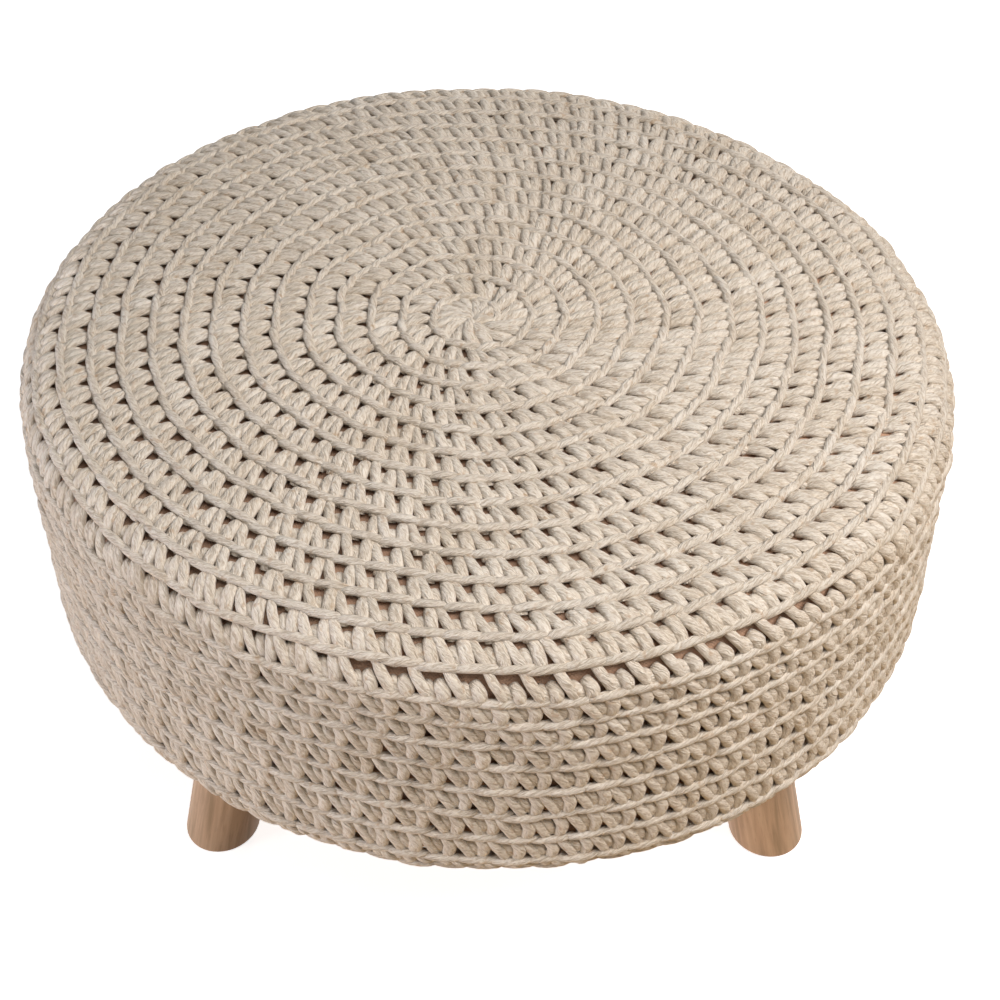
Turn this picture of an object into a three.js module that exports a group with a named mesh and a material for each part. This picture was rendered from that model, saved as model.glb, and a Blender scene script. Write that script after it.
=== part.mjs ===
// A low round footstool with a crocheted cover: a drum-shaped cushion on a plain board, four short
// splayed wooden legs, and one crocheted skin over the top and down the side that turns under at its hem.
// Millimetres, +Z up. The stool stands on z = 0 with its centre on the Z axis and its front towards -Y.

import * as THREE from 'three';

// The outside of the crochet
const STOOL_RADIUS = 300;
const STOOL_HEIGHT = 313;
const HEM_HEIGHT = 110; // floor to the underside of the hem
const CROWN_RISE = 14; // from the level of the rim up to the middle of the top
const RIM_ROUNDING = 38; // where the top turns into the side
const HEM_ROUNDING = 15; // where the side turns under
const OUT_OF_ROUND = 0.015; // longer by this share from front right to back left, narrower across

// The layers inside it
const CROCHET_THICKNESS = 11; // two yarns deep
const GAP = 0.3; // between pieces that touch
const CLOTH_CLEARANCE = 2.5; // between the turned-in hem and the board
const BOARD_THICKNESS = 15;
const CUSHION_EDGE_ROUNDING = 10; // round the cushion's underside

// The legs. They are screwed on a little off the cover's centre, because the cover is pulled on by hand.
const LEG_SHIFT = 7.5; // to the right
const LEG_TURN = THREE.MathUtils.degToRad(-1.2);
const LEG_RADIUS = 24;
const SOLE_EASING = 3; // sanded edge round each sole
const FOOT_CIRCLE = 259; // from the middle of the four to the centre of each sole
const LEG_SPLAY = THREE.MathUtils.degToRad(16.4); // away from upright, straight out from the middle
const LEGS = [
  { name: 'leg_front_right', bearing: -45 },
  { name: 'leg_back_right', bearing: 45 },
  { name: 'leg_back_left', bearing: 135 },
  { name: 'leg_front_left', bearing: -135 },
];

// How finely the round shapes are cut, in facets
const ROUND_FACETS = 64;
const LEG_FACETS = 32;
const CROWN_STEPS = 6;
const ROUNDING_STEPS = 5;
const SOLE_STEPS = 2;

// Sizes that follow from these
const BOARD_RADIUS = STOOL_RADIUS - HEM_ROUNDING - CLOTH_CLEARANCE;
const BOARD_UNDERSIDE = HEM_HEIGHT + CLOTH_CLEARANCE;
const CUSHION_UNDERSIDE = BOARD_UNDERSIDE + BOARD_THICKNESS + GAP;
const LEG_HEIGHT = BOARD_UNDERSIDE - GAP;

// Points on an arc in a profile's plane, where x is the distance from the axis and y the height.
function arcPoints(centre, radius, fromAngle, toAngle, steps) {
  return Array.from({ length: steps + 1 }, (_, i) => {
    const angle = THREE.MathUtils.lerp(fromAngle, toAngle, i / steps);
    return new THREE.Vector2(centre.x + radius * Math.cos(angle), centre.y + radius * Math.sin(angle));
  });
}

// The upper outline, from the middle of the top to the foot of the rim's rounding. The crown is a flat arc
// centred on the axis that runs smoothly into the rim's arc. An inset moves the outline inwards square to
// itself, so the same two arcs give the outside of the crochet, its inside and the cushion.
function topOutline(inset) {
  const rimCentre = new THREE.Vector2(STOOL_RADIUS - RIM_ROUNDING, STOOL_HEIGHT - CROWN_RISE - RIM_ROUNDING);
  const tilt = 2 * Math.atan(CROWN_RISE / rimCentre.x);
  const crownRadius = rimCentre.x / Math.sin(tilt) + RIM_ROUNDING;
  const crownCentre = new THREE.Vector2(0, STOOL_HEIGHT - crownRadius);
  const upright = Math.PI / 2;
  const crown = arcPoints(crownCentre, crownRadius - inset, upright, upright - tilt, CROWN_STEPS);
  const rim = arcPoints(rimCentre, RIM_ROUNDING - inset, upright - tilt, 0, ROUNDING_STEPS);
  crown[0].x = 0;
  return [...crown, ...rim.slice(1)];
}

// The lower outline of the crochet, from the side round to the turned-in end of the hem.
function hemOutline(inset) {
  const centre = new THREE.Vector2(STOOL_RADIUS - HEM_ROUNDING, HEM_HEIGHT + HEM_ROUNDING);
  return arcPoints(centre, HEM_ROUNDING - inset, 0, -Math.PI / 2, ROUNDING_STEPS);
}

// A body turned about the upright axis, from a profile that runs from the bottom to the top.
function turned(profile, facets) {
  return new THREE.LatheGeometry(profile, facets).rotateX(Math.PI / 2);
}

// The drum is a little out of round: a straight stretch along one diagonal.
function stretched(geometry) {
  const k = OUT_OF_ROUND;
  return geometry.applyMatrix4(new THREE.Matrix4().set(1, -k, 0, 0, -k, 1, 0, 0, 0, 0, 1, 0, 0, 0, 0, 1));
}

function namedMesh(name, geometry, color, roughness) {
  const mesh = new THREE.Mesh(geometry, new THREE.MeshStandardMaterial({ color, roughness, metalness: 0 }));
  mesh.name = name;
  return mesh;
}

// One crocheted skin: its outside from hem to crown is joined at the hem to its inside.
function crochetCover() {
  const outside = [...topOutline(0), ...hemOutline(0)];
  const inside = [...topOutline(CROCHET_THICKNESS), ...hemOutline(CROCHET_THICKNESS)];
  const profile = [...inside, ...outside.reverse()];
  return namedMesh('crochet_cover', stretched(turned(profile, ROUND_FACETS)), 0xcdbfa6, 0.95);
}

// The filled drum of tan cloth that the crochet is stretched over.
function cushion() {
  const inset = CROCHET_THICKNESS + GAP;
  const edgeCentre = new THREE.Vector2(
    STOOL_RADIUS - inset - CUSHION_EDGE_ROUNDING,
    CUSHION_UNDERSIDE + CUSHION_EDGE_ROUNDING,
  );
  const edge = arcPoints(edgeCentre, CUSHION_EDGE_ROUNDING, -Math.PI / 2, 0, ROUNDING_STEPS);
  const profile = [new THREE.Vector2(0, CUSHION_UNDERSIDE), ...edge, ...topOutline(inset).reverse()];
  return namedMesh('cushion', stretched(turned(profile, ROUND_FACETS)), 0xb48f78, 0.9);
}

// The plain board under the cushion, inside the turned-in hem, which carries the legs.
function baseBoard() {
  const disc = new THREE.CylinderGeometry(BOARD_RADIUS, BOARD_RADIUS, BOARD_THICKNESS, ROUND_FACETS);
  const board = namedMesh('base_board', stretched(disc.rotateX(Math.PI / 2)), 0xc8ab7f, 0.7);
  board.position.z = BOARD_UNDERSIDE + BOARD_THICKNESS / 2;
  return board;
}

// A round leg whose axis leans outwards to its sole. Both ends are cut level, so each level section is
// a circle drawn out by the lean, and moved outwards as it comes down.
function leg({ name, bearing }) {
  const easing = arcPoints(
    new THREE.Vector2(LEG_RADIUS - SOLE_EASING, SOLE_EASING),
    SOLE_EASING,
    -Math.PI / 2,
    0,
    SOLE_STEPS,
  );
  const top = [new THREE.Vector2(LEG_RADIUS, LEG_HEIGHT), new THREE.Vector2(0, LEG_HEIGHT)];
  const lean = new THREE.Matrix4().set(
    1 / Math.cos(LEG_SPLAY), 0, -Math.tan(LEG_SPLAY), 0,
    0, 1, 0, 0,
    0, 0, 1, 0,
    0, 0, 0, 1,
  );
  const geometry = turned([new THREE.Vector2(0, 0), ...easing, ...top], LEG_FACETS).applyMatrix4(lean);
  const mesh = namedMesh(name, geometry, 0xb08c6c, 0.55);
  const direction = THREE.MathUtils.degToRad(bearing);
  mesh.position.set(FOOT_CIRCLE * Math.cos(direction), FOOT_CIRCLE * Math.sin(direction), 0);
  mesh.rotation.z = direction;
  return mesh;
}

const legs = new THREE.Group();
legs.position.x = LEG_SHIFT;
legs.rotation.z = LEG_TURN;
legs.add(...LEGS.map(leg));

const group = new THREE.Group();
group.add(crochetCover(), cushion(), baseBoard(), legs);

export default group;
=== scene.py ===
"""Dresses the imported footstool: a cover of real strands of yarn, its cloth casing, turned legs and a studio.

Metres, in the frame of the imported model: +Z up, the stool on z = 0, its front towards -Y.
"""

import logging
import math
from dataclasses import dataclass, field
from enum import Enum

import bpy
import numpy as np
from mathutils import Euler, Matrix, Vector


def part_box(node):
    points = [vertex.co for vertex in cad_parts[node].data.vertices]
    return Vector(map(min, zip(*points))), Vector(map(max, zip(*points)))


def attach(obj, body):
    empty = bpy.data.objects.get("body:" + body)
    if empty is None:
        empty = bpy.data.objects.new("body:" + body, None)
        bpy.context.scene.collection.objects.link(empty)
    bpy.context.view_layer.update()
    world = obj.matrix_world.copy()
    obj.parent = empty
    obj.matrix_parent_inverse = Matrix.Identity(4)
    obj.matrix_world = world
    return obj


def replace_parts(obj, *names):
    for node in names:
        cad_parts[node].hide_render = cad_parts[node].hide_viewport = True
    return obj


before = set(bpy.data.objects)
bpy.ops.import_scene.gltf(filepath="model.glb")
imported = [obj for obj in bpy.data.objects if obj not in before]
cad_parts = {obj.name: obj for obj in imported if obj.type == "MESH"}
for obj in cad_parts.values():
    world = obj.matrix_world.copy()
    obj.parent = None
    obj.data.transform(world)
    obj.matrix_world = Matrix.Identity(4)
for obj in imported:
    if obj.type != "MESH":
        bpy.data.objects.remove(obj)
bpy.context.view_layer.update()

Array = np.ndarray
Socket = bpy.types.NodeSocket
Tree = bpy.types.NodeTree
Point = tuple[float, float, float]
Stops = tuple[tuple[float, str], ...]
MM = 0.001
FULL_TURN = 2 * math.pi
log = logging.getLogger("footstool")


# ----------------------------------------
# Meshes from arrays


def unit(vectors: Array) -> Array:
    """Each vector divided by its length, along the last axis."""
    return vectors / np.linalg.norm(vectors, axis=-1, keepdims=True)


def new_object(name: str, data: bpy.types.ID) -> bpy.types.Object:
    """A new object in the scene."""
    made = bpy.data.objects.new(name, data)
    bpy.context.scene.collection.objects.link(made)
    return made


def new_piece(
    name: str,
    vertices: Array,
    polygons: list[Array],
    uv: list[Array],
    tint: Array | None = None,
) -> bpy.types.Object:
    """Puts whole arrays into one smooth mesh, with its object at the origin.

    Args:
        name: The piece's name.
        vertices: Corners, one row of x, y, z each.
        polygons: Groups of faces, each an array of one row of corner numbers a face.
        uv: For each group, the corner's place on the piece's own map, in the same order as its faces.
        tint: One shade from 0 to 1 for each vertex, or None.

    Returns:
        The new object.
    """
    mesh = bpy.data.meshes.new(name)
    corners = np.concatenate([group.ravel() for group in polygons]).astype(np.int32)
    sizes = np.concatenate([np.full(len(group), group.shape[1]) for group in polygons])
    mesh.vertices.add(len(vertices))
    mesh.vertices.foreach_set("co", vertices.astype(np.float32).ravel())
    mesh.loops.add(len(corners))
    mesh.loops.foreach_set("vertex_index", corners)
    mesh.polygons.add(len(sizes))
    mesh.polygons.foreach_set("loop_start", np.concatenate([[0], np.cumsum(sizes)[:-1]]).astype(np.int32))
    mesh.polygons.foreach_set("use_smooth", np.ones(len(sizes), bool))
    mesh.update(calc_edges=True)
    layer = mesh.uv_layers.new(name="surface")
    places = np.concatenate([part.reshape(-1, 2) for part in uv])
    layer.uv.foreach_set("vector", places.astype(np.float32).ravel())
    if tint is not None:
        mesh.attributes.new("tint", "FLOAT", "POINT").data.foreach_set("value", tint.astype(np.float32))
    return new_object(name, mesh)


def turned_piece(name: str, grid: Array, uv: Array) -> bpy.types.Object:
    """A closed body from a grid of points whose first and last rows are poles.

    Row 0 is the upper pole and the last row the lower one, and the columns run counter-clockwise as seen
    from above.

    Args:
        name: The piece's name.
        grid: Points, rows by columns by 3. Both pole rows repeat one point.
        uv: Rows by (columns + 1) by 2, with the first column repeated at the end.

    Returns:
        The new object.
    """
    rows, columns = grid.shape[:2]
    inner = grid[1:-1].reshape(-1, 3)
    vertices = np.concatenate([inner, grid[:1, 0], grid[-1:, 0]])
    top, bottom = len(inner), len(inner) + 1
    here = np.arange(columns)
    after = (here + 1) % columns
    band = np.arange(rows - 3)[:, None] * columns
    below = band + columns
    quads = np.stack([band + here, below + here, below + after, band + after], -1).reshape(-1, 4)
    last = (rows - 3) * columns
    upper = np.stack([np.full(columns, top), here, after], -1)
    lower = np.stack([np.full(columns, bottom), last + after, last + here], -1)
    a, b = here, here + 1
    quad_uv = np.stack([uv[1:-2, a], uv[2:-1, a], uv[2:-1, b], uv[1:-2, b]], 2)
    upper_uv = np.stack([uv[0, a], uv[1, a], uv[1, b]], 1)
    lower_uv = np.stack([uv[-1, a], uv[-2, b], uv[-2, a]], 1)
    return new_piece(name, vertices, [quads, upper, lower], [quad_uv, upper_uv, lower_uv])


# ----------------------------------------
# The shape of the stool


@dataclass(frozen=True)
class Drum:
    """The outside of the soft part: a flat crown, a rounded rim, an upright side and a rounded hem.

    A point on it has a bearing round the upright axis, an arc length down from the middle of the top, and a
    level, which is its height above the outside, square to it.
    """

    radius: float
    top: float
    hem: float
    crown_rise: float = 14 * MM
    rim_rounding: float = 38 * MM
    hem_rounding: float = 15 * MM
    out_of_round: float = 0.015
    # How far the crochet's centre has slipped off the axis, along X and Y.
    slip: tuple[float, float] = (-7.5 * MM, -25 * MM)

    @classmethod
    def from_frame(cls) -> "Drum":
        """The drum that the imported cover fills."""
        low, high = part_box("crochet_cover")
        return cls(radius=high.x, top=high.z, hem=low.z)

    @property
    def crown_tilt(self) -> float:
        """How far the crown leans where it runs into the rim, as an angle."""
        return 2 * math.atan(self.crown_rise / (self.radius - self.rim_rounding))

    @property
    def crown_radius(self) -> float:
        """The radius of the flat arc over the top."""
        return (self.radius - self.rim_rounding) / math.sin(self.crown_tilt) + self.rim_rounding

    @property
    def joins(self) -> tuple[float, float, float, float]:
        """Arc lengths at the ends of the crown, the rim, the side and the hem."""
        crown = self.crown_radius * self.crown_tilt
        rim = crown + self.rim_rounding * (math.pi / 2 - self.crown_tilt)
        side = rim + (self.top - self.crown_rise - self.rim_rounding) - (self.hem + self.hem_rounding)
        return crown, rim, side, side + self.hem_rounding * math.pi / 2

    def section(self, arc: Array, level: Array | float = 0.0) -> tuple[Array, Array, Array]:
        """The outline's radius, height and lean at an arc length.

        The lean is 0 on top and a quarter turn at the side. It is arc over radius on each rounding, and a
        point at a level lies that far out along (sin lean, cos lean).

        Args:
            arc: Arc lengths from the middle of the top.
            level: Heights above the outside.

        Returns:
            Radius from the axis, height above the floor, and lean.
        """
        crown, rim, side, _ = self.joins
        shoulder = self.radius - self.rim_rounding
        rim_height = self.top - self.crown_rise - self.rim_rounding
        bands = [arc < crown, arc < rim, arc < side]
        lean = np.select(
            bands,
            [arc / self.crown_radius, self.crown_tilt + (arc - crown) / self.rim_rounding, math.pi / 2],
            math.pi / 2 + (arc - side) / self.hem_rounding,
        )
        out, up = np.sin(lean), np.cos(lean)
        radius = np.select(
            bands,
            [self.crown_radius * out, shoulder + self.rim_rounding * out, self.radius],
            self.radius - self.hem_rounding + self.hem_rounding * out,
        )
        height = np.select(
            bands,
            [
                self.top - self.crown_radius * (1 - up),
                rim_height + self.rim_rounding * up,
                rim_height - (arc - rim),
            ],
            self.hem + self.hem_rounding + self.hem_rounding * up,
        )
        return radius + level * out, height + level * up, lean

    def stretched(self, x: Array, y: Array, z: Array) -> Array:
        """Points pulled a little out of round: x less a share of y, and y less the same share of x."""
        return np.stack([x - self.out_of_round * y, y - self.out_of_round * x, z], -1)

    def place(self, bearing: Array, arc: Array, level: Array | float) -> Array:
        """Points on the crochet, whose centre has slipped sideways by less and less towards the rim."""
        radius, height, _ = self.section(arc, level)
        slack = np.clip(1 - radius / self.radius, 0, 1)
        x = radius * np.cos(bearing) + self.slip[0] * slack
        y = radius * np.sin(bearing) + self.slip[1] * slack
        return self.stretched(x, y, height)

    def outward(self, bearing: Array, arc: Array) -> Array:
        """The direction square to the outside."""
        lean = self.section(arc)[2]
        return np.stack([np.sin(lean) * np.cos(bearing), np.sin(lean) * np.sin(bearing), np.cos(lean)], -1)


@dataclass(frozen=True)
class Wander:
    """A smooth unevenness over the drum: a sum of slanting cosine waves, each whole round the stool.

    Attributes:
        seed: For the draw of the waves.
        rounds: The fewest and most waves round the stool.
        arc_wave: The shortest wave along the arc.
        count: How many waves are added up.
    """

    seed: int
    rounds: tuple[int, int]
    arc_wave: float
    count: int = 9

    def at(self, bearing: Array, arc: Array) -> Array:
        """Values mostly from -1 to 1: root(0.5 / count) * the sum of cos(n * bearing + q * arc + phase).

        Args:
            bearing: Angles round the upright axis.
            arc: Arc lengths from the middle of the top.

        Returns:
            One value for each place.
        """
        draw = np.random.default_rng(self.seed)
        around = draw.integers(self.rounds[0], self.rounds[1] + 1, self.count)
        along = draw.uniform(-1, 1, self.count) * FULL_TURN / self.arc_wave
        phase = draw.uniform(0, FULL_TURN, self.count)
        waves = np.cos(bearing[..., None] * around + arc[..., None] * along + phase)
        return waves.sum(-1) * math.sqrt(0.5 / self.count)


# ----------------------------------------
# Strands of yarn


@dataclass(frozen=True)
class Strand:
    """One strand of a stitch, routed in the stitch's own measure.

    Attributes:
        route: Points as (stitch widths along the round, rounds outwards, millimetres above the outside).
        half_width: Half its width across the fabric.
        half_depth: Half its thickness square to the fabric.
        sides: Corners in its section, most of them on the upper half, which shows.
        steps: Lengths that it is cut into.
        end_size: The share of its full thickness at each end, where it is pulled tight.
        flank: Its route on the upright side, where the fabric is drawn longer, if that differs.
    """

    route: tuple[Point, ...]
    half_width: float
    half_depth: float
    sides: int
    steps: int
    end_size: tuple[float, float] = (0.7, 0.7)
    flank: tuple[Point, ...] | None = None

    def weights(self) -> Array:
        """The share of each route point in each step's point, by the Catmull-Rom curve through them."""
        count = len(self.route)
        place = np.linspace(0, count - 1, self.steps + 1)
        span = np.minimum(place.astype(int), count - 2)
        t = place - span
        basis = 0.5 * np.stack(
            [
                -t + 2 * t**2 - t**3,
                2 - 5 * t**2 + 3 * t**3,
                t + 4 * t**2 - 3 * t**3,
                t**3 - t**2,
            ],
            axis=1,
        )
        padded = np.zeros((self.steps + 1, count + 2))
        rows = np.arange(self.steps + 1)
        for shift in range(4):
            padded[rows, span + shift] += basis[:, shift]
        inner = padded[:, 1:-1].copy()
        inner[:, 0] += 2 * padded[:, 0]
        inner[:, 1] -= padded[:, 0]
        inner[:, -1] += 2 * padded[:, -1]
        inner[:, -2] -= padded[:, -1]
        return inner

    def section_angles(self) -> Array:
        """Angles of the section's corners: even over the upper half and a little past it, and few below."""
        past_level, apart_below = 22, 60
        below = max(1, self.sides // 6)
        above = np.radians(np.linspace(-past_level, 180 + past_level, self.sides - below))
        under = np.radians(270 + (np.arange(below) - (below - 1) / 2) * apart_below)
        return np.concatenate([above, under])

    def thickness(self) -> Array:
        """The share of full thickness at each step: e + (1 - e) * sin(pi * place) ** bluntness.

        The share e runs straight from the first end's size to the last one's.
        """
        bluntness = 0.8
        place = np.linspace(0, 1, self.steps + 1)
        ends = self.end_size[0] + (self.end_size[1] - self.end_size[0]) * place
        return ends + (1 - ends) * np.sin(math.pi * place) ** bluntness


@dataclass
class Tubes:
    """Closed tubes of yarn of one kind, held as arrays until they are joined into a piece.

    Attributes:
        rings: Points, tubes by steps by sides by 3.
        along: The length along each tube at each step.
        angles: The section's corners, as angles.
        tint: One shade for each tube.
    """

    rings: Array
    along: Array
    angles: Array
    tint: Array

    def arrays(self, first: int) -> tuple[Array, list[Array], list[Array], Array]:
        """The tubes as vertices, faces and map places.

        Args:
            first: The number of the first vertex in the piece that they join.

        Returns:
            Vertices, groups of faces, each group's places on the map, and the vertices' tints.
        """
        tubes, steps, sides = self.rings.shape[:3]
        number = first + np.arange(tubes * steps * sides).reshape(tubes, steps, sides)
        beside = np.roll(number, -1, axis=2)
        walls = np.stack([number[:, :-1], number[:, 1:], beside[:, 1:], beside[:, :-1]], -1)
        around = np.concatenate([self.angles, self.angles[:1] + FULL_TURN]) / FULL_TURN
        u = np.broadcast_to(around, (tubes, steps, sides + 1))
        v = np.broadcast_to(self.along[..., None], (tubes, steps, sides + 1))
        place = np.stack([u, v], -1)
        wall_uv = np.stack([place[:, :-1, :-1], place[:, 1:, :-1], place[:, 1:, 1:], place[:, :-1, 1:]], 3)
        ends = np.concatenate([number[:, 0], number[:, -1, ::-1]])
        end_uv = np.concatenate([place[:, 0, :-1], place[:, -1, :-1][:, ::-1]])
        shade = np.repeat(self.tint, steps * sides)
        faces = [walls.reshape(-1, 4), ends]
        return self.rings.reshape(-1, 3), faces, [wall_uv.reshape(-1, 4, 2), end_uv], shade


def sweep(points: Array, up: Array, strand: Strand, size: Array) -> tuple[Array, Array]:
    """Carries a strand's section along many paths at once.

    The section is an ellipse: half the width times cos(angle) across the fabric, and half the depth times
    sin(angle) square to it, both times the strand's thickness at that step.

    Args:
        points: Paths, tubes by steps by 3.
        up: Directions square to the fabric at those points.
        strand: Its section.
        size: The share of the strand's full thickness, for each tube.

    Returns:
        Rings, tubes by steps by sides by 3, and the length along each tube.
    """
    forward = unit(np.gradient(points, axis=1))
    side = unit(np.cross(forward, up))
    lift = np.cross(side, forward)
    lengths = np.linalg.norm(np.diff(points, axis=1), axis=-1)
    along = np.concatenate([np.zeros((len(points), 1)), np.cumsum(lengths, axis=1)], axis=1)
    angles = strand.section_angles()
    girth = (size[:, None] * strand.thickness())[..., None]
    wide = (girth * np.cos(angles) * strand.half_width)[..., None] * side[:, :, None]
    deep = (girth * np.sin(angles) * strand.half_depth)[..., None] * lift[:, :, None]
    return points[:, :, None] + wide + deep, along


# ----------------------------------------
# Materials


def linear(code: str) -> tuple[float, float, float, float]:
    """An sRGB hex colour as the linear colour that shaders use."""
    values = np.array([int(code[i : i + 2], 16) / 255 for i in (1, 3, 5)])
    straight = np.where(values <= 0.04045, values / 12.92, ((values + 0.055) / 1.055) ** 2.4)
    return (*map(float, straight), 1.0)


def add(tree: Tree, kind: str, inputs: dict | None = None, **settings: object) -> bpy.types.Node:
    """Adds a node, sets it, and fills its inputs.

    Args:
        tree: The node tree.
        kind: The node's type name, without its ShaderNode prefix.
        inputs: Values or sockets by the input's name or number.
        settings: The node's own properties.

    Returns:
        The new node.
    """
    made = tree.nodes.new("ShaderNode" + kind)
    for name, value in settings.items():
        setattr(made, name, value)
    for key, value in (inputs or {}).items():
        if isinstance(value, bpy.types.NodeSocket):
            tree.links.new(value, made.inputs[key])
        else:
            made.inputs[key].default_value = value
    return made


def calculate(tree: Tree, operation: str, *values: float | Socket) -> Socket:
    """One arithmetic step on numbers or sockets."""
    return add(tree, "Math", dict(enumerate(values)), operation=operation).outputs[0]


def noise(tree: Tree, place: Socket, scale: float = 1.0, detail: float = 2.0, bend: float = 0.0) -> Socket:
    """Soft noise from 0 to 1."""
    look = {"Vector": place, "Scale": scale, "Detail": detail, "Distortion": bend}
    return add(tree, "TexNoise", look).outputs["Fac"]


def scaled(tree: Tree, place: Socket, scale: Point) -> Socket:
    """A place multiplied along each axis."""
    return add(tree, "Mapping", {"Vector": place, "Scale": scale}).outputs[0]


def between(tree: Tree, value: Socket, source: tuple[float, float], target: tuple[float, float]) -> Socket:
    """A value carried from one range to another, and held at its ends."""
    return add(tree, "MapRange", dict(enumerate((value, *source, *target)))).outputs[0]


def dimmed(tree: Tree, colour: Socket | Point, level: Socket) -> Socket:
    """A colour multiplied by a level."""
    return add(tree, "VectorMath", {0: colour, "Scale": level}, operation="SCALE").outputs[0]


def over(tree: Tree, share: Socket, under: Socket | tuple, code: str) -> Socket:
    """A hex colour laid over another by a share."""
    return add(tree, "Mix", {0: share, 6: under, 7: linear(code)}, data_type="RGBA").outputs[2]


def give_surface(tree: Tree, relief: tuple[Socket, float, float], look: dict) -> None:
    """Ends a material with its surface.

    Args:
        tree: The material's nodes.
        relief: The height of its relief, and the strength and depth that it shows with.
        look: The shader's other inputs.
    """
    height, strength, depth = relief
    bump = add(tree, "Bump", {"Height": height, "Strength": strength, "Distance": depth}).outputs["Normal"]
    shader = add(tree, "BsdfPrincipled", {**look, "Normal": bump})
    add(tree, "OutputMaterial", {"Surface": shader.outputs[0]})


def ramp(tree: Tree, factor: Socket, stops: Stops) -> Socket:
    """A colour ramp with a hex colour at each position."""
    made = add(tree, "ValToRGB", {"Fac": factor})
    band = made.color_ramp.elements
    while len(band) < len(stops):
        band.new(0.5)
    for element, (position, code) in zip(band, stops):
        element.position = position
        element.color = linear(code)
    return made.outputs["Color"]


def seen_directly(tree: Tree) -> Socket:
    """1 on rays from the camera and from shiny reflections, and 0 on the rays that light other things."""
    path = add(tree, "LightPath").outputs
    return calculate(tree, "MAXIMUM", path["Is Camera Ray"], path["Is Glossy Ray"])


def new_material(name: str) -> tuple[bpy.types.Material, Tree]:
    """A material without nodes, and its node tree."""
    material = bpy.data.materials.new(name)
    material.use_nodes = True
    material.node_tree.nodes.clear()
    return material, material.node_tree


@dataclass(frozen=True)
class CottonYarn:
    """Undyed cotton yarn with little twist: matt warm cream, fine threads with painted shade between them, and
    ochre bits of husk.
    """

    shades: Stops = ((0.28, "#DDD0BD"), (0.5, "#EEE4D6"), (0.72, "#F9F3E9"))
    painted_crevice_shade: str = "#9A8062"  # painted shade between the threads, laid where the relief is low
    husk: str = "#B98D55"
    lay: float = 42 * MM  # the length in which the plies go round once
    plies: int = 5
    threads: tuple[int, float] = (20, 6 * MM)  # how many round the yarn, and how long one shows
    fibres: tuple[int, float] = (48, 2.2 * MM)
    patch: float = 5 * MM  # how far apart the threads stray and the husk gathers
    straying: float = 0.2  # of a turn
    bump: tuple[float, float] = (0.8, 1.6 * MM)  # strength and depth
    roughness: float = 0.92

    def surface(self, tree: Tree, tint: Socket, patches: Socket) -> tuple[Socket, Socket]:
        """The fibres, and the relief that plies, threads and fibres make together.

        With u turns round the yarn and v metres along it, the lie is u - v / lay + straying * patches. A ply
        is a cosine of the lie, and threads and fibres are noise drawn out along it, new for each stitch.

        Args:
            tree: The material's nodes.
            tint: The stitch's own shade.
            patches: Noise over the whole cover.

        Returns:
            The fibres' noise, and the relief.
        """
        apart, ply_height, fibre_height = 90, 0.07, 0.5
        place = add(tree, "UVMap", uv_map="surface").outputs["UV"]
        split = add(tree, "SeparateXYZ", {"Vector": place}).outputs
        along = calculate(tree, "MULTIPLY", split["Y"], 1 / self.lay)
        turned = calculate(tree, "SUBTRACT", split["X"], along)
        lie = calculate(tree, "MULTIPLY_ADD", patches, self.straying, turned)
        yarn = add(tree, "CombineXYZ", {"X": lie, "Y": split["Y"], "Z": tint}).outputs[0]
        threads, fibres = (
            noise(tree, scaled(tree, yarn, (count, 1 / length, apart)), detail=detail)
            for (count, length), detail in ((self.threads, 1.0), (self.fibres, 3.0))
        )
        wave = calculate(tree, "COSINE", calculate(tree, "MULTIPLY", lie, self.plies * FULL_TURN))
        plied = calculate(tree, "MULTIPLY_ADD", wave, ply_height, threads)
        return fibres, calculate(tree, "MULTIPLY_ADD", fibres, fibre_height, plied)

    def make(self) -> bpy.types.Material:
        """Cream that varies by fibre and stitch, with painted shade where the relief is low, and flecked with
        husk.
        """
        material, tree = new_material("undyed_cotton_yarn")
        tint_share = 0.3
        tint = add(tree, "Attribute", attribute_name="tint").outputs["Fac"]
        own = add(tree, "TexCoord").outputs["Object"]
        patches = noise(tree, own, scale=1 / self.patch)
        fibres, relief = self.surface(tree, tint, patches)
        shade = calculate(tree, "MULTIPLY_ADD", tint, tint_share, fibres)
        cream = ramp(tree, calculate(tree, "SUBTRACT", shade, tint_share / 2), self.shades)
        # Painted shade: the low parts of the relief, between threads and fibres, take up to 0.42 of the shade
        # colour.
        low = between(tree, relief, (0.56, 0.80), (0.42, 0.0))
        crevice_shaded_cream = over(tree, low, cream, self.painted_crevice_shade)
        flecks = between(tree, patches, (0.62, 0.74), (0.0, 0.4))
        look = {
            "Base Color": over(tree, flecks, crevice_shaded_cream, self.husk),
            "Roughness": self.roughness,
            "Sheen Weight": 0.15,
            "Sheen Roughness": 0.5,
            "Specular IOR Level": 0.25,
        }
        give_surface(tree, (relief, *self.bump), look)
        return material


@dataclass(frozen=True)
class WovenCloth:
    """Plain woven tan cotton, matt: the casing under the crochet."""

    colour: str = "#CBA78E"
    thread: float = 1.1 * MM
    roughness: float = 0.9

    def make(self) -> bpy.types.Material:
        """Threads over and under as crossed sine waves, in colour and bump."""
        material, tree = new_material("plain_woven_cotton")
        place = add(tree, "UVMap", uv_map="surface").outputs["UV"]
        split = add(tree, "SeparateXYZ", {"Vector": place}).outputs
        across, along = (
            calculate(tree, "SINE", calculate(tree, "MULTIPLY", split[axis], math.pi / self.thread))
            for axis in ("X", "Y")
        )
        weave = calculate(tree, "MULTIPLY", across, along)
        colour = dimmed(tree, linear(self.colour)[:3], between(tree, weave, (-1.0, 1.0), (0.85, 1.0)))
        give_surface(tree, (weave, 0.5, 0.3 * MM), {"Base Color": colour, "Roughness": self.roughness})
        return material


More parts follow.
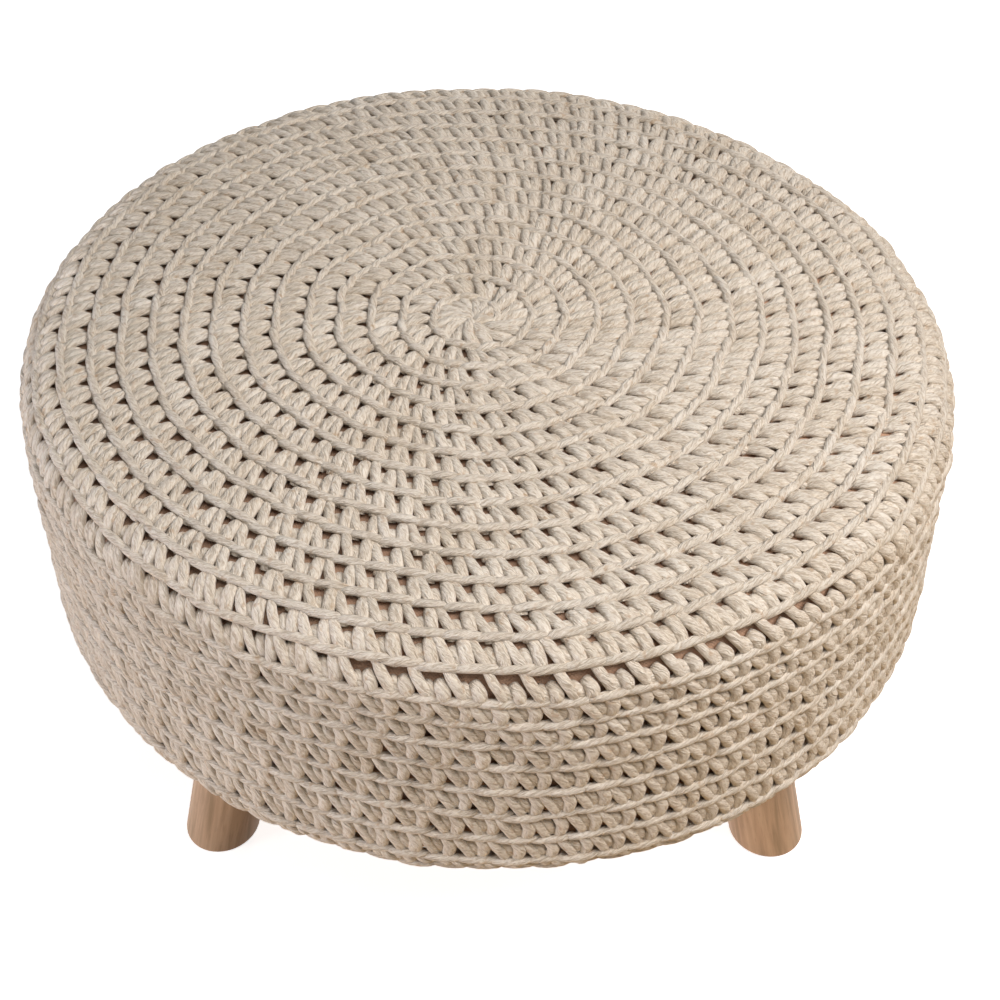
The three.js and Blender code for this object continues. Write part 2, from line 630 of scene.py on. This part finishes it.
@dataclass(frozen=True)
class OiledHardwood:
    """Turned hardwood under thin oil: a low sheen over fine streaks that run along the leg."""

    shades: Stops = ((0.3, "#967856"), (0.5, "#B69474"), (0.7, "#C8A887"))
    streak: tuple[float, float] = (5 * MM, 70 * MM)  # width and length
    pore: tuple[float, float] = (0.8 * MM, 9 * MM)
    roughness: float = 0.5

    def make(self) -> bpy.types.Material:
        """Streaks from noise drawn out along the grain, with short dark pores."""
        material, tree = new_material("oiled_hardwood")
        place = add(tree, "UVMap", uv_map="surface").outputs["UV"]
        grain, pores = (
            noise(tree, scaled(tree, place, (1 / width, 1 / length, 1)), detail=detail, bend=bend)
            for (width, length), detail, bend in ((self.streak, 4.0, 0.4), (self.pore, 2.0, 0.0))
        )
        wood = ramp(tree, grain, self.shades)
        colour = dimmed(tree, wood, between(tree, pores, (0.55, 0.75), (1.0, 0.82)))
        look = {"Base Color": colour, "Roughness": self.roughness, "IOR": 1.5}
        give_surface(tree, (pores, 0.25, 0.2 * MM), look)
        return material


@dataclass(frozen=True)
class BirchPlywood:
    """Sanded bare birch plywood: pale faces with a faint grain, and thin darker layers along its edge."""

    shades: Stops = ((0.3, "#C9AB80"), (0.5, "#D9BF97"), (0.7, "#E3CDA9"))
    streak: tuple[float, float] = (120 * MM, 6 * MM)  # length and width
    layer: float = 3 * MM
    roughness: float = 0.75

    def make(self) -> bpy.types.Material:
        """Grain drawn out along X, times a wave down Z with one dip in each pair of layers."""
        material, tree = new_material("birch_plywood")
        own = add(tree, "TexCoord").outputs["Object"]
        length, width = self.streak
        grain = noise(tree, scaled(tree, own, (1 / length, 1 / width, 1)), detail=3.0, bend=0.5)
        height = add(tree, "SeparateXYZ", {"Vector": own}).outputs["Z"]
        wave = calculate(tree, "COSINE", calculate(tree, "MULTIPLY", height, math.pi / self.layer))
        wood = ramp(tree, grain, self.shades)
        colour = dimmed(tree, wood, between(tree, wave, (-0.4, 0.4), (0.86, 1.0)))
        look = {"Base Color": colour, "Roughness": self.roughness, "IOR": 1.5}
        give_surface(tree, (grain, 0.2, 0.2 * MM), look)
        return material


@dataclass(frozen=True)
class StudioPaper:
    """Seamless studio paper: seen as white, while it throws a wooden floor's warm light on the stool."""

    seen_colour: str = "#F2F2F2"
    thrown_colour: str = "#D2B07A"
    glow: float = 0.82

    def make(self) -> bpy.types.Material:
        """Matt paper with a glow that only the camera and reflections see, so only shadows look grey."""
        material, tree = new_material("studio_paper")
        seen = seen_directly(tree)
        colour = over(tree, seen, linear(self.thrown_colour), self.seen_colour)
        paper = add(tree, "BsdfDiffuse", {"Color": colour}).outputs[0]
        strength = calculate(tree, "MULTIPLY", seen, self.glow)
        glow = add(tree, "Emission", {"Color": (1, 1, 1, 1), "Strength": strength}).outputs[0]
        both = add(tree, "AddShader", {0: paper, 1: glow}).outputs[0]
        add(tree, "OutputMaterial", {"Surface": both})
        return material


# ----------------------------------------
# The crocheted cover


class Zone(Enum):
    """The parts of the cover, from the middle of the top to the hem, each one piece."""

    TOP = "crochet_top"
    SHOULDER = "crochet_shoulder"
    SIDE = "crochet_side"


@dataclass(frozen=True)
class Stitches:
    """Where stitches sit on the spiral, and how each differs from the next.

    Attributes:
        turn: The turn of the spiral at which each starts.
        step: Its width in turns.
        tint: Its shade, from 0 to 1.
        size: The share of the full thickness that its strands have.
        nudge: Three draws that move its strands.
        slit: How far it opens below the ridge, as a share of its height.
    """

    turn: Array
    step: Array
    tint: Array
    size: Array
    nudge: Array
    slit: Array

    def part(self, chosen: Array) -> "Stitches":
        """Only the chosen stitches."""
        return Stitches(**{name: values[chosen] for name, values in vars(self).items()})


# The unworked front loop of the round below, which stands up as a ridge.
RIDGE = Strand(
    route=(
        (-0.14, 0.035, -5.0), (0.04, 0.035, -3.5), (0.30, 0.01, -2.4), (0.60, -0.01, -2.1),
        (0.90, -0.02, -2.3), (1.12, -0.025, -3.2), (1.32, -0.02, -5.0),
    ),
    half_width=2.8 * MM, half_depth=2.6 * MM, sides=8, steps=7, end_size=(0.65, 0.65),
)
# The loops left along the hem: like the ridge, but both halves of each loop, so fuller.
HEM_EDGE = Strand(
    route=tuple((along, out, level + 0.4) for along, out, level in RIDGE.route),
    half_width=3.0 * MM, half_depth=3.0 * MM, sides=8, steps=7, end_size=(0.6, 0.6),
)
# The hem's turned-in edge, behind the last round.
HEM_LINING = Strand(
    route=tuple((along, 0.6 + out, level - 6.2) for along, out, level in RIDGE.route),
    half_width=4.6 * MM, half_depth=2.6 * MM, sides=8, steps=7, end_size=(0.8, 0.8),
)
# The first leg of the drawn-up loop: a narrow strand that lies over the others.
NARROW_LEG = Strand(
    route=(
        (-0.14, 0.03, -5.6), (-0.10, 0.16, -4.3), (0.00, 0.36, -3.3), (0.12, 0.57, -2.9), (0.23, 0.77, -3.3),
        (0.29, 0.94, -4.3), (0.31, 1.10, -6.4),
    ),
    flank=(
        (-0.15, 0.03, -5.6), (-0.09, 0.18, -3.9), (0.02, 0.38, -3.0), (0.15, 0.57, -2.9), (0.25, 0.76, -3.3),
        (0.30, 0.94, -4.5), (0.31, 1.12, -6.8),
    ),
    half_width=3.3 * MM, half_depth=2.75 * MM, sides=8, steps=8, end_size=(0.85, 0.95),
)
# The yarn drawn over behind the legs: it fills the lobe between them from below.
INNER_LEG = Strand(
    route=(
        (0.32, 0.31, -9.6), (0.34, 0.39, -7.6), (0.38, 0.49, -6.0), (0.42, 0.61, -5.3), (0.49, 0.77, -5.2),
        (0.53, 0.96, -6.8),
    ),
    flank=(
        (0.18, 0.12, -8.6), (0.22, 0.24, -6.2), (0.30, 0.40, -4.9), (0.38, 0.55, -4.6), (0.44, 0.74, -5.2),
        (0.47, 0.96, -7.0),
    ),
    half_width=3.9 * MM, half_depth=2.9 * MM, sides=9, steps=7, end_size=(0.6, 0.85),
)
# The second leg: a full strand, which makes the rounded top of the lobe.
OUTER_LEG = Strand(
    route=(
        (0.63, 0.06, -7.6), (0.65, 0.16, -5.4), (0.69, 0.33, -3.8), (0.73, 0.52, -3.2), (0.77, 0.72, -3.4),
        (0.79, 0.90, -4.2), (0.79, 1.08, -6.2),
    ),
    flank=(
        (0.53, 0.02, -7.4), (0.59, 0.16, -4.9), (0.69, 0.33, -3.6), (0.74, 0.48, -3.2), (0.71, 0.66, -3.4),
        (0.67, 0.86, -4.2), (0.65, 1.10, -6.6),
    ),
    half_width=4.1 * MM, half_depth=3.05 * MM, sides=9, steps=8, end_size=(0.8, 0.95),
)


@dataclass
class CrochetCover:
    """Single crochet worked in one spiral from the middle of the top, in the back loop only."""

    drum: Drum
    yarn: CottonYarn = field(default_factory=CottonYarn)
    # Stitches are narrow near the middle and widen towards the rim: arc from the middle, and width.
    stitch_widths: tuple[tuple[float, float], ...] = (
        (0 * MM, 15 * MM),
        (140 * MM, 15.5 * MM),
        (200 * MM, 17.5 * MM),
        (320 * MM, 20 * MM),
    )
    # The first ridge comes out of the middle between these turns of the spiral, up to this arc.
    start_turns: tuple[float, float] = (0.08, 0.25)
    first_ridge: float = 15 * MM
    # The rows after it: how many turns have been worked where a kind of row ends, and how tall it is.
    row_heights: tuple[tuple[int, float], ...] = (
        (14, 20.3 * MM),  # the top
        (15, 22.5 * MM),  # the loose row that starts the rim
        (17, 17.5 * MM),  # drawn tight over the rim
        (19, 20 * MM),
        (23, 22 * MM),  # the side, down to the hem
    )
    first_turn: float = 0.2
    fan_stitches: int = 8
    hem_arc: float = 472 * MM
    last_row: float = 7 * MM  # the least height left for a stitch above the hem
    hem_stitches: int = 94
    # The loose stretch of one round at the front of the rim, where windows show the casing.
    open_turns: tuple[float, float] = (13.955, 14.11)
    open_fade: float = 0.02
    open_slit: float = 0.46
    # Where strands change from their route on top to the one on the side, and over what length.
    rim_arc: float = 285 * MM
    rim_blend: float = 40 * MM
    front: float = -math.pi / 2
    # How the fabric as a whole is uneven, and how far that goes along it or out of it.
    sway: Wander = Wander(seed=3, rounds=(3, 9), arc_wave=190 * MM)
    ripple: Wander = Wander(seed=5, rounds=(12, 24), arc_wave=90 * MM)
    lump: Wander = Wander(seed=8, rounds=(3, 12), arc_wave=160 * MM)
    sway_reach: float = 2.2 * MM
    ripple_reach: float = 0.6 * MM
    lump_reach: float = 0.7 * MM
    # How far from the middle and from the hem the fabric is held still.
    settled: tuple[float, float] = (60 * MM, 40 * MM)
    # How far a draw of 1 moves a strand: along the round, outwards and upwards.
    unevenness: Point = (0.025, 0.02, 0.35 * MM)
    own_share: float = 0.8  # of a strand's own draw, beside its stitch's
    seed: int = 11
    hem_seed: int = 23

    @property
    def last_turn(self) -> int:
        """The turn of the spiral that the hem is worked on."""
        return self.row_heights[-1][0]

    def ridge_arc(self, turn: Array) -> Array:
        """The arc at which the ridge passes at that turn of the spiral, no lower than the hem strand.

        The arc where a kind of row ends is the one where it starts, plus its turns times its height.
        """
        turns, arcs = list(self.start_turns), [0.0, self.first_ridge]
        for until, height in self.row_heights:
            arcs.append(arcs[-1] + (until - turns[-1]) * height)
            turns.append(until)
        return np.minimum(np.interp(turn, turns, arcs), self.hem_arc)

    def width(self, arc: Array) -> Array:
        """How wide a stitch is at an arc."""
        return np.interp(arc, *np.array(self.stitch_widths).T)

    def layout(self) -> Stitches:
        """Spaces the stitches evenly along the spiral, after a fan of a few round the centre.

        The count of stitches up to a turn is the integral of the round's length over the stitch's width.
        """
        samples = 4000
        turns = np.linspace(self.first_turn, self.last_turn + 1, samples)
        turns = turns[self.ridge_arc(turns) < self.hem_arc - self.last_row]
        middle = (self.ridge_arc(turns) + self.ridge_arc(turns + 1)) / 2
        density = FULL_TURN * self.drum.section(middle)[0] / self.width(middle)
        count = np.concatenate([[0], np.cumsum((density[1:] + density[:-1]) / 2 * np.diff(turns))])
        starts = np.interp(np.arange(int(count[-1]) + 1), count, turns)
        fan = self.first_turn - 1 + np.arange(self.fan_stitches) / self.fan_stitches
        turn = np.concatenate([fan, starts])
        step = np.diff(turn, append=2 * turn[-1] - turn[-2])
        draw = np.random.default_rng(self.seed)
        within = np.minimum(turn - self.open_turns[0], self.open_turns[1] - turn)
        opened = np.clip(1 + within / self.open_fade, 0, 1)
        usual, spread, widest = 0.04, 0.06, 0.16
        slit = np.clip(draw.normal(usual, spread, len(turn)), 0, widest)
        slit = np.maximum(slit, self.open_slit * opened)
        return Stitches(turn=turn, step=step, slit=slit, **self.draws(draw, len(turn)))

    @staticmethod
    def draws(draw: np.random.Generator, count: int) -> dict[str, Array]:
        """The shade, thickness and nudge of each stitch."""
        shade_spread, size_spread = 0.15, 0.05
        return {
            "tint": np.clip(draw.normal(0.5, shade_spread, count), 0, 1),
            "size": draw.normal(1.0, size_spread, count),
            "nudge": draw.normal(0.0, 1.0, (count, 3)),
        }

    def hem(self, first: float) -> Stitches:
        """One round of stitches near the hem, from a turn of the spiral."""
        count = self.hem_stitches
        return Stitches(
            turn=first + np.arange(count) / count,
            step=np.full(count, 1 / count),
            slit=np.zeros(count),
            **self.draws(np.random.default_rng(self.hem_seed), count),
        )

    def place(self, turn: Array, out: Array, level: Array) -> tuple[Array, Array]:
        """Points in the fabric and the direction square to it there.

        A point's arc is (1 - out) * ridge(turn) + out * ridge(turn + 1), moved by the cover's unevenness.

        Args:
            turn: Turns of the spiral, which set the bearing.
            out: Rounds outwards from the ridge at that turn.
            level: Height above the outside, in metres.

        Returns:
            Points and outward directions.
        """
        bearing = FULL_TURN * turn + self.front
        arc = (1 - out) * self.ridge_arc(turn) + out * self.ridge_arc(turn + 1)
        middle, hem = self.settled
        free = np.clip(arc / middle, 0, 1) * np.clip((self.hem_arc - arc) / hem, 0, 1)
        sway, ripple, lump = (wander.at(bearing, arc) for wander in (self.sway, self.ripple, self.lump))
        arc = arc + free * (self.sway_reach * sway + self.ripple_reach * ripple)
        level = level + self.lump_reach * (lump - 1)
        return self.drum.place(bearing, arc, level), self.drum.outward(bearing, arc)

    def tubes(self, strand: Strand, stitches: Stitches) -> Tubes:
        """One strand in every stitch.

        An open stitch draws its strands away from its ridge: out + give * (1 - out).

        Args:
            strand: Which of the stitch's strands.
            stitches: The stitches that have it.

        Returns:
            A tube for each stitch.
        """
        routes = (strand.route, strand.flank or strand.route)
        on_top, on_side = (strand.weights() @ (np.array(route) * (1, 1, MM)) for route in routes)
        past_rim = self.ridge_arc(stitches.turn + 0.5) - self.rim_arc
        upright = np.clip(past_rim / self.rim_blend, 0, 1)[:, None, None]
        points = (1 - upright) * on_top + upright * on_side
        own = np.roll(stitches.nudge, strand.sides + strand.steps, axis=0)
        jitter = (stitches.nudge + self.own_share * own) * self.unevenness
        local = points + jitter[:, None]
        gives = {INNER_LEG: stitches.slit, OUTER_LEG: stitches.slit**2 / self.open_slit}
        give = gives.get(strand, np.zeros(len(stitches.slit)))
        local[..., 1] += give[:, None] * (1 - local[..., 1])
        turn = stitches.turn[:, None] + local[..., 0] * stitches.step[:, None]
        path, up = self.place(turn, local[..., 1], local[..., 2])
        rings, along = sweep(path, up, strand, stitches.size)
        return Tubes(rings, along, strand.section_angles(), stitches.tint)

    def join(self, name: str, groups: list[Tubes]) -> bpy.types.Object:
        """One piece from several kinds of strand."""
        vertices, polygons, uv, tint, first = [], [], [], [], 0
        for group in groups:
            corners, faces, places, shade = group.arrays(first)
            vertices.append(corners)
            polygons += faces
            uv += places
            tint.append(shade)
            first += len(corners)
        return new_piece(name, np.concatenate(vertices), polygons, uv, np.concatenate(tint))

    def dress(self, piece: bpy.types.Object, material: bpy.types.Material) -> bpy.types.Object:
        """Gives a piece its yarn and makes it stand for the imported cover."""
        piece.data.materials.append(material)
        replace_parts(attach(piece, "root"), "crochet_cover")
        return piece

    def declare(self, stitches: Stitches) -> None:
        """Works out the mean round length over a zone's stitches, and does nothing more with it. Its
        measure is therefore no test of these flat sizes.

        Args:
            stitches: Its stitches.
        """
        inner, outer = self.ridge_arc(stitches.turn), self.ridge_arc(stitches.turn + 1)
        round_length = FULL_TURN * self.drum.section((inner + outer) / 2)[0]

    def build(self) -> list[bpy.types.Object]:
        """Crochets the cover: the stitches of each zone, the ridges of unworked loops, and the hem."""
        stitches = self.layout()
        material = self.yarn.make()
        last = self.last_turn
        ridged = stitches.part(stitches.turn >= self.first_turn)
        ridges = self.dress(self.join("crochet_ridges", [self.tubes(RIDGE, ridged)]), material)
        edge = [self.tubes(HEM_EDGE, self.hem(last)), self.tubes(HEM_LINING, self.hem(last - 1))]
        hem = self.dress(self.join("crochet_hem", edge), material)
        pieces = [ridges, hem]
        for zone, chosen in zip(Zone, np.array_split(np.arange(len(stitches.turn)), len(Zone))):
            part = stitches.part(chosen)
            legs = [self.tubes(strand, part) for strand in (NARROW_LEG, OUTER_LEG)]
            piece = self.dress(self.join(zone.value, legs), material)
            inner = self.dress(self.join(zone.value + "_inner", [self.tubes(INNER_LEG, part)]), material)
            self.declare(part)
            pieces += [piece, inner]
        log.info("crochet: %d stitches in %d pieces", len(stitches.turn), len(pieces))
        return pieces


# ----------------------------------------
# The cushion and the legs


@dataclass
class Casing:
    """The filled drum of tan cloth under the crochet."""

    drum: Drum
    cover_thickness: float = 8.8 * MM
    edge_rounding: float = 10 * MM
    # How many points the profile has over the top, down the side, round the edge and underneath.
    rows: tuple[int, int, int, int] = (40, 14, 7, 12)
    columns: int = 144

    def build(self) -> bpy.types.Object:
        """A turned body with a crown, a rounded shoulder and a rounded lower edge."""
        crown, wall, edge, base = self.rows
        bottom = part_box("cushion")[0].z
        rim = self.drum.joins[1]
        edge_height = bottom + self.edge_rounding
        side_end = rim + self.drum.section(np.array([rim]))[1][0] - edge_height
        arc = np.concatenate([np.linspace(0, rim, crown), np.linspace(rim, side_end, wall)[1:]])
        radius, height, _ = self.drum.section(arc, -self.cover_thickness)
        turn = np.linspace(0, math.pi / 2, edge)[1:]
        edge_radius = radius[-1] - self.edge_rounding * (1 - np.cos(turn))
        inwards = np.linspace(edge_radius[-1], 0, base)[1:]
        radius = np.concatenate([radius, edge_radius, inwards])
        lower = edge_height - self.edge_rounding * np.sin(turn)
        height = np.concatenate([height, lower, np.full(len(inwards), bottom)])
        bearing = np.linspace(0, FULL_TURN, self.columns, endpoint=False)
        x, y = radius[:, None] * np.cos(bearing), radius[:, None] * np.sin(bearing)
        grid = self.drum.stretched(x, y, np.broadcast_to(height[:, None], x.shape))
        around = np.linspace(0, FULL_TURN, self.columns + 1) * self.drum.radius
        along = np.concatenate([[0], np.cumsum(np.hypot(np.diff(radius), np.diff(height)))])
        uv = np.stack(np.broadcast_arrays(around[None], along[:, None]), -1)
        piece = turned_piece("casing", grid, uv)
        piece.data.materials.append(WovenCloth().make())
        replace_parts(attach(piece, "root"), "cushion")
        return piece


@dataclass
class TurnedLeg:
    """One splayed round leg, cut level at the floor and at the board."""

    node: str
    bearing: float
    wood: bpy.types.Material
    shift: float = 7.5 * MM
    turn: float = math.radians(-1.2)
    foot_circle: float = 259 * MM
    radius: float = 24 * MM
    splay: float = math.radians(16.4)
    easing: float = 3 * MM  # sanded edge round the sole
    top_easing: float = 1 * MM
    core: float = 0.6  # of the radius, for the ring inside both flat ends
    easing_rows: int = 6
    rows: int = 24
    columns: int = 48

    def build(self) -> bpy.types.Object:
        """A round section carried up the leaning axis: x / cos(splay) - z * tan(splay)."""
        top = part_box(self.node)[1].z
        core = self.radius * self.core
        ease = np.linspace(0, math.pi / 2, self.easing_rows)
        rise = np.linspace(self.easing, top - self.top_easing, self.rows)[1:]
        sole = self.radius - self.easing * (1 - np.sin(ease))
        upper = [self.radius - self.top_easing, core, 0]
        radius = np.concatenate([[0, core], sole, np.full(len(rise), self.radius), upper])[::-1]
        height = np.concatenate([[0, 0], self.easing * (1 - np.cos(ease)), rise, [top, top, top]])[::-1]
        bearing = np.linspace(0, FULL_TURN, self.columns, endpoint=False)
        x = radius[:, None] * np.cos(bearing) / math.cos(self.splay) - height[:, None] * math.tan(self.splay)
        y = radius[:, None] * np.sin(bearing)
        x = x + self.foot_circle
        direction = self.bearing + self.turn
        east = x * math.cos(direction) - y * math.sin(direction) + self.shift
        north = x * math.sin(direction) + y * math.cos(direction)
        grid = np.stack([east, north, np.broadcast_to(height[:, None], x.shape)], -1)
        around = np.linspace(0, FULL_TURN * self.radius, self.columns + 1)
        uv = np.stack(np.broadcast_arrays(around[None] + self.bearing, height[:, None]), -1)
        piece = turned_piece(self.node + "_turned", grid, uv)
        piece.data.materials.append(self.wood)
        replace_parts(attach(piece, "root"), self.node)
        return piece


# ----------------------------------------
# The studio


@dataclass(frozen=True)
class Lamp:
    """A square soft lamp: where it stands, how wide it is, its power in watts and its colour."""

    name: str
    place: Point
    size: float
    watts: float
    colour: str


LAMPS = (
    Lamp("key", (1.0, -0.45, 1.4), 0.7, 15.5, "#FFF7F0"),
    Lamp("overhead", (0.2, -0.6, 1.25), 0.5, 4.6, "#FFF7F0"),
    Lamp("fill", (-1.9, -0.9, 0.24), 0.5, 24, "#FAF7FF"),
    Lamp("back", (0.3, 2.2, 0.3), 0.6, 24, "#FFFCF8"),
)


@dataclass
class Studio:
    """A white paper floor, soft lamps and the camera."""

    target: Point = (0.0, 0.0, 0.1778)
    distance: float = 1.2096
    elevation: float = math.radians(42.27)
    roll: float = -0.0088
    lens: float = 63.65
    sensor: float = 36.0
    shift: tuple[float, float] = (0.0151, -0.0514)
    floor_half: float = 30.0
    floor_level: float = -0.3 * MM  # just under the soles
    sky_colour: str = "#EEF7FF"
    sky_strength: float = 0.14

    def camera(self) -> None:
        """Places the camera in front of the stool, above it, looking down at its middle."""
        data = bpy.data.cameras.new("camera")
        data.lens = self.lens
        data.sensor_width = self.sensor
        data.shift_x, data.shift_y = self.shift
        camera = new_object("camera", data)
        back = Vector((0, -math.cos(self.elevation), math.sin(self.elevation)))
        camera.location = Vector(self.target) + self.distance * back
        tilt = Euler((math.pi / 2 - self.elevation, 0, 0)).to_matrix()
        camera.rotation_euler = (tilt @ Euler((0, 0, self.roll)).to_matrix()).to_euler()
        bpy.context.scene.camera = camera

    def floor(self) -> None:
        """A wide sheet of paper."""
        half, level = self.floor_half, self.floor_level
        corners = [(-half, -half, level), (half, -half, level), (half, half, level), (-half, half, level)]
        mesh = bpy.data.meshes.new("floor")
        mesh.from_pydata(corners, [], [(0, 1, 2, 3)])
        floor = new_object("floor", mesh)
        mesh.materials.append(StudioPaper().make())

    def hang(self, lamp: Lamp) -> None:
        """Puts up a lamp that faces the stool."""
        data = bpy.data.lights.new(lamp.name, "AREA")
        data.size = lamp.size
        data.energy = lamp.watts
        data.color = linear(lamp.colour)[:3]
        hung = new_object(lamp.name, data)
        hung.location = lamp.place
        hung.rotation_euler = (Vector(self.target) - hung.location).to_track_quat("-Z", "Y").to_euler()

    def world(self) -> None:
        """A soft even sky, seen as white."""
        world = bpy.data.worlds.new("studio")
        world.use_nodes = True
        tree = world.node_tree
        tree.nodes.clear()
        sky = {"Color": linear(self.sky_colour), "Strength": self.sky_strength}
        soft = add(tree, "Background", sky).outputs[0]
        white = add(tree, "Background", {"Color": (1, 1, 1, 1), "Strength": 1.0}).outputs[0]
        mix = add(tree, "MixShader", {0: seen_directly(tree), 1: soft, 2: white}).outputs[0]
        add(tree, "OutputWorld", {"Surface": mix})
        bpy.context.scene.world = world

    def build(self) -> None:
        """Floor, world and lamps."""
        bpy.context.scene.view_settings.view_transform = "Standard"
        self.floor()
        self.world()
        for lamp in LAMPS:
            self.hang(lamp)


def finish_board() -> None:
    """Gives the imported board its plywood."""
    plywood = BirchPlywood().make()
    for slot in bpy.data.objects["base_board"].material_slots:
        slot.material = plywood


LEG_BEARINGS = {
    "leg_front_right": -45,
    "leg_back_right": 45,
    "leg_back_left": 135,
    "leg_front_left": -135,
}


def main() -> None:
    """Builds the studio and the stool, and logs how many triangles each piece has."""
    logging.basicConfig(level=logging.INFO, format="%(message)s")
    studio = Studio()
    studio.camera()
    drum = Drum.from_frame()
    casing = Casing(drum).build()
    pieces = [casing, *CrochetCover(drum).build()]
    finish_board()
    wood = OiledHardwood().make()
    for node, bearing in LEG_BEARINGS.items():
        pieces.append(TurnedLeg(node, math.radians(bearing), wood).build())
    for piece in pieces:
        piece.data.calc_loop_triangles()
        log.info("%s: %d triangles", piece.name, len(piece.data.loop_triangles))
    studio.build()


if __name__ == "__main__":
    main()
